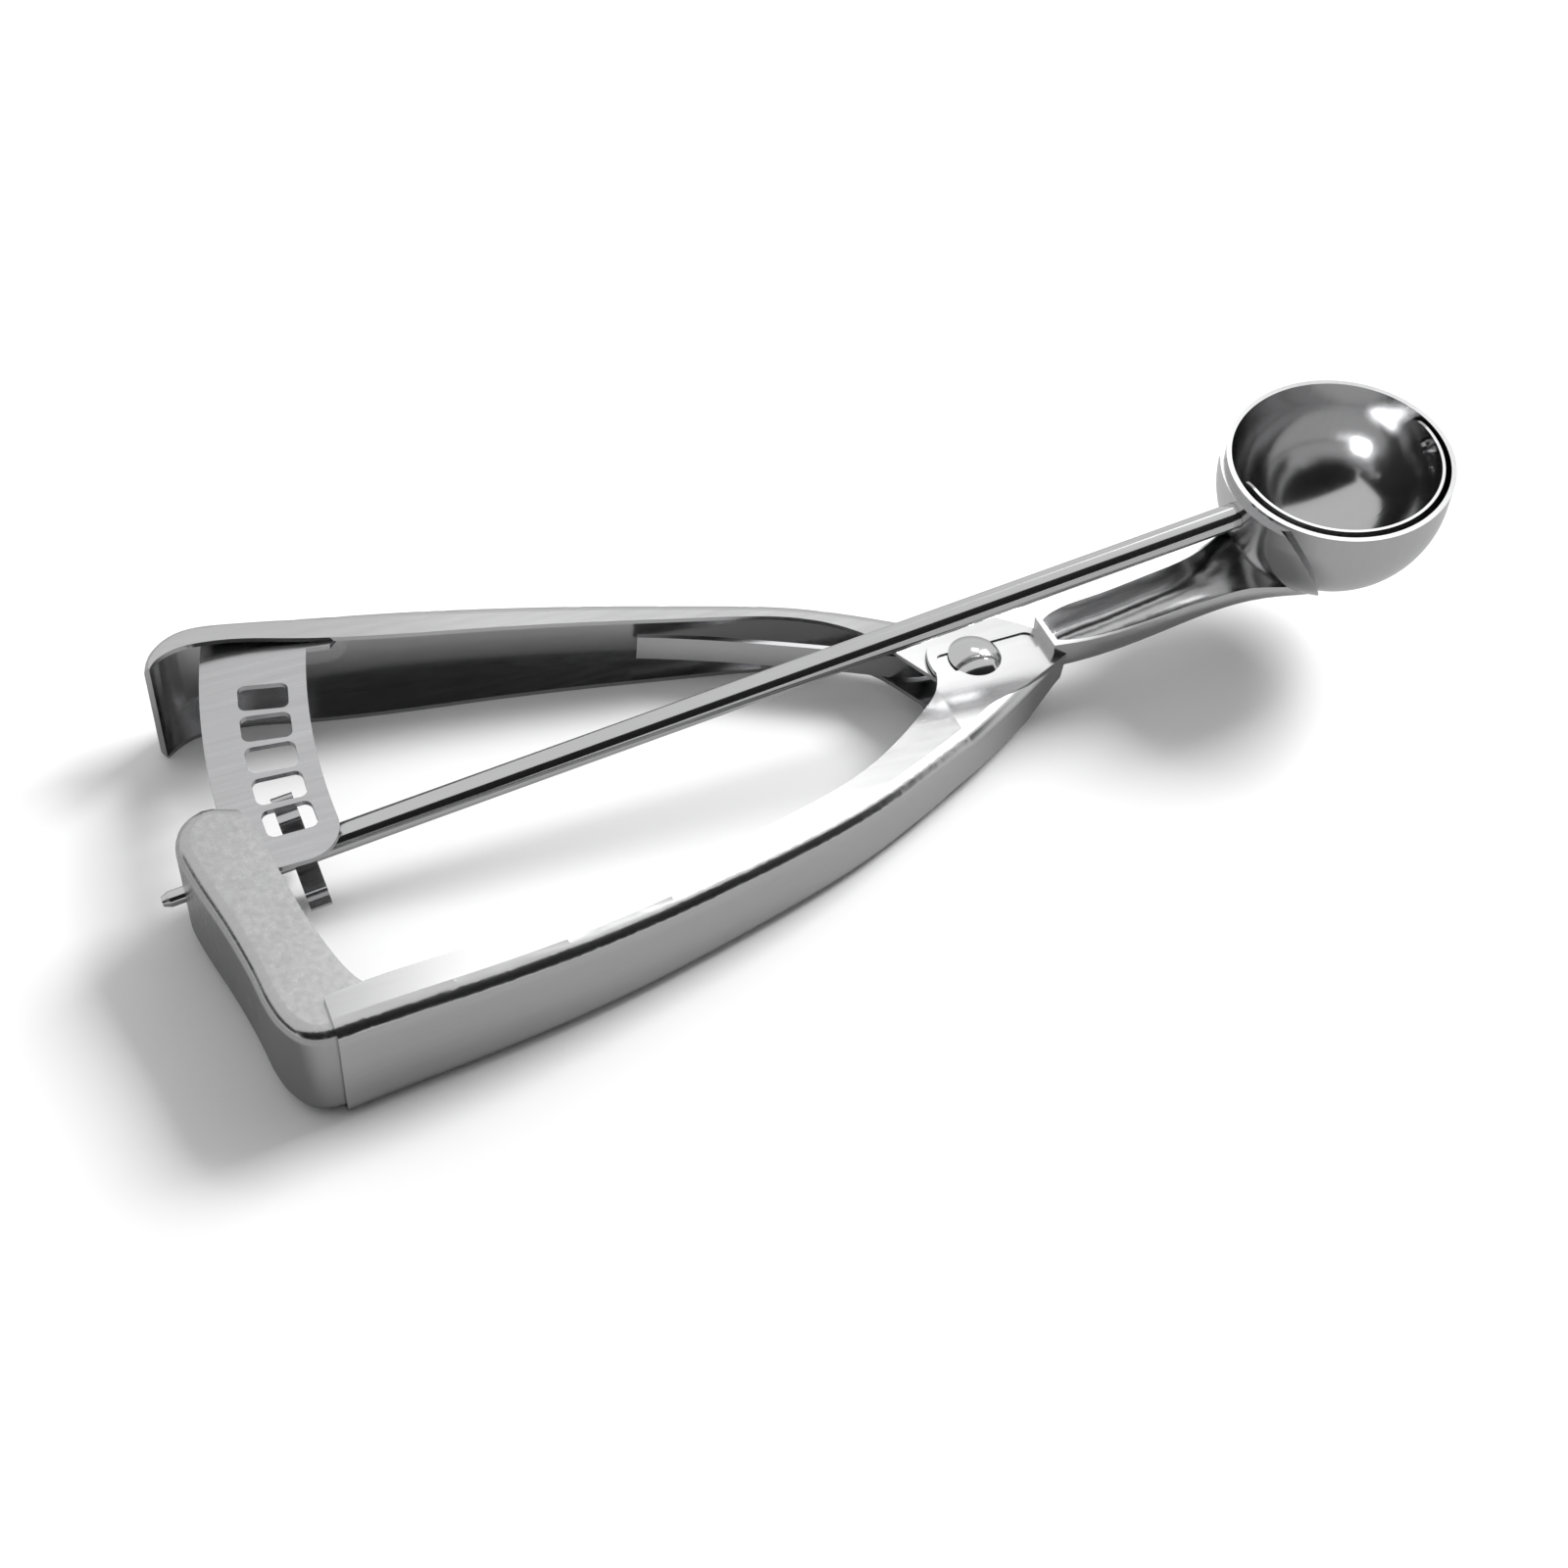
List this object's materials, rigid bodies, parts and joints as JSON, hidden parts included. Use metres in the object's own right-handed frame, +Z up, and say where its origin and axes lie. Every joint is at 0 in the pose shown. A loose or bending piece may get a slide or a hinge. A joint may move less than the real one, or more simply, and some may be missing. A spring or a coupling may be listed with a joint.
{
  "type": "squeeze-handle ice cream scoop",
  "caption": "Stainless steel ice cream scoop with squeeze handles, a rack and pinion drive, a long rod and a sweeping wiper blade in its bowl.",
  "frame": {"origin": "centre of the underside of the whole scoop, on the table it rests on", "axes": "+X along the scoop from the heel of the handles to the bowl, +Y from the fixed handle to the moving lever, +Z up and out of the bowl's mouth"},
  "size_m": [0.2334, 0.0854, 0.0433],
  "materials": {
    "polished_steel": "polished",
    "brushed_steel": "brushed",
    "spring_steel": "satin"
  },
  "bodies": {
    "frame": {"fixed_handle": "polished_steel", "heel_arm": "polished_steel", "bowl": "polished_steel", "tip_pin": "polished_steel", "pivot_rivet": "polished_steel", "return_spring": "spring_steel"},
    "lever": {"lever_handle": "polished_steel", "rack_plate": "brushed_steel"},
    "rod": {"drive_rod": "polished_steel", "pinion": "brushed_steel", "wiper_blade": "polished_steel"}
  },
  "joints": [
    {"name": "lever_hinge", "type": "hinge", "parent": "frame", "child": "lever", "pos_m": [0.02603, -0.00051, 0.008], "axis": [0, 0, 1], "range_deg": [0, 12.2], "stiffness_Nm_per_rad": 0.55, "springref_deg": -20.05, "deforming": ["return_spring"]},
    {"name": "rod_turn", "type": "hinge", "parent": "frame", "child": "rod", "pos_m": [0.09533, -0.00051, 0.03562], "axis": [0.9919, 0, 0.1269], "range_deg": [0, 180]}
  ],
  "couplings": [
    {"joint": "rod_turn", "follows": "lever_hinge", "ratio": 14.74}
  ]
}
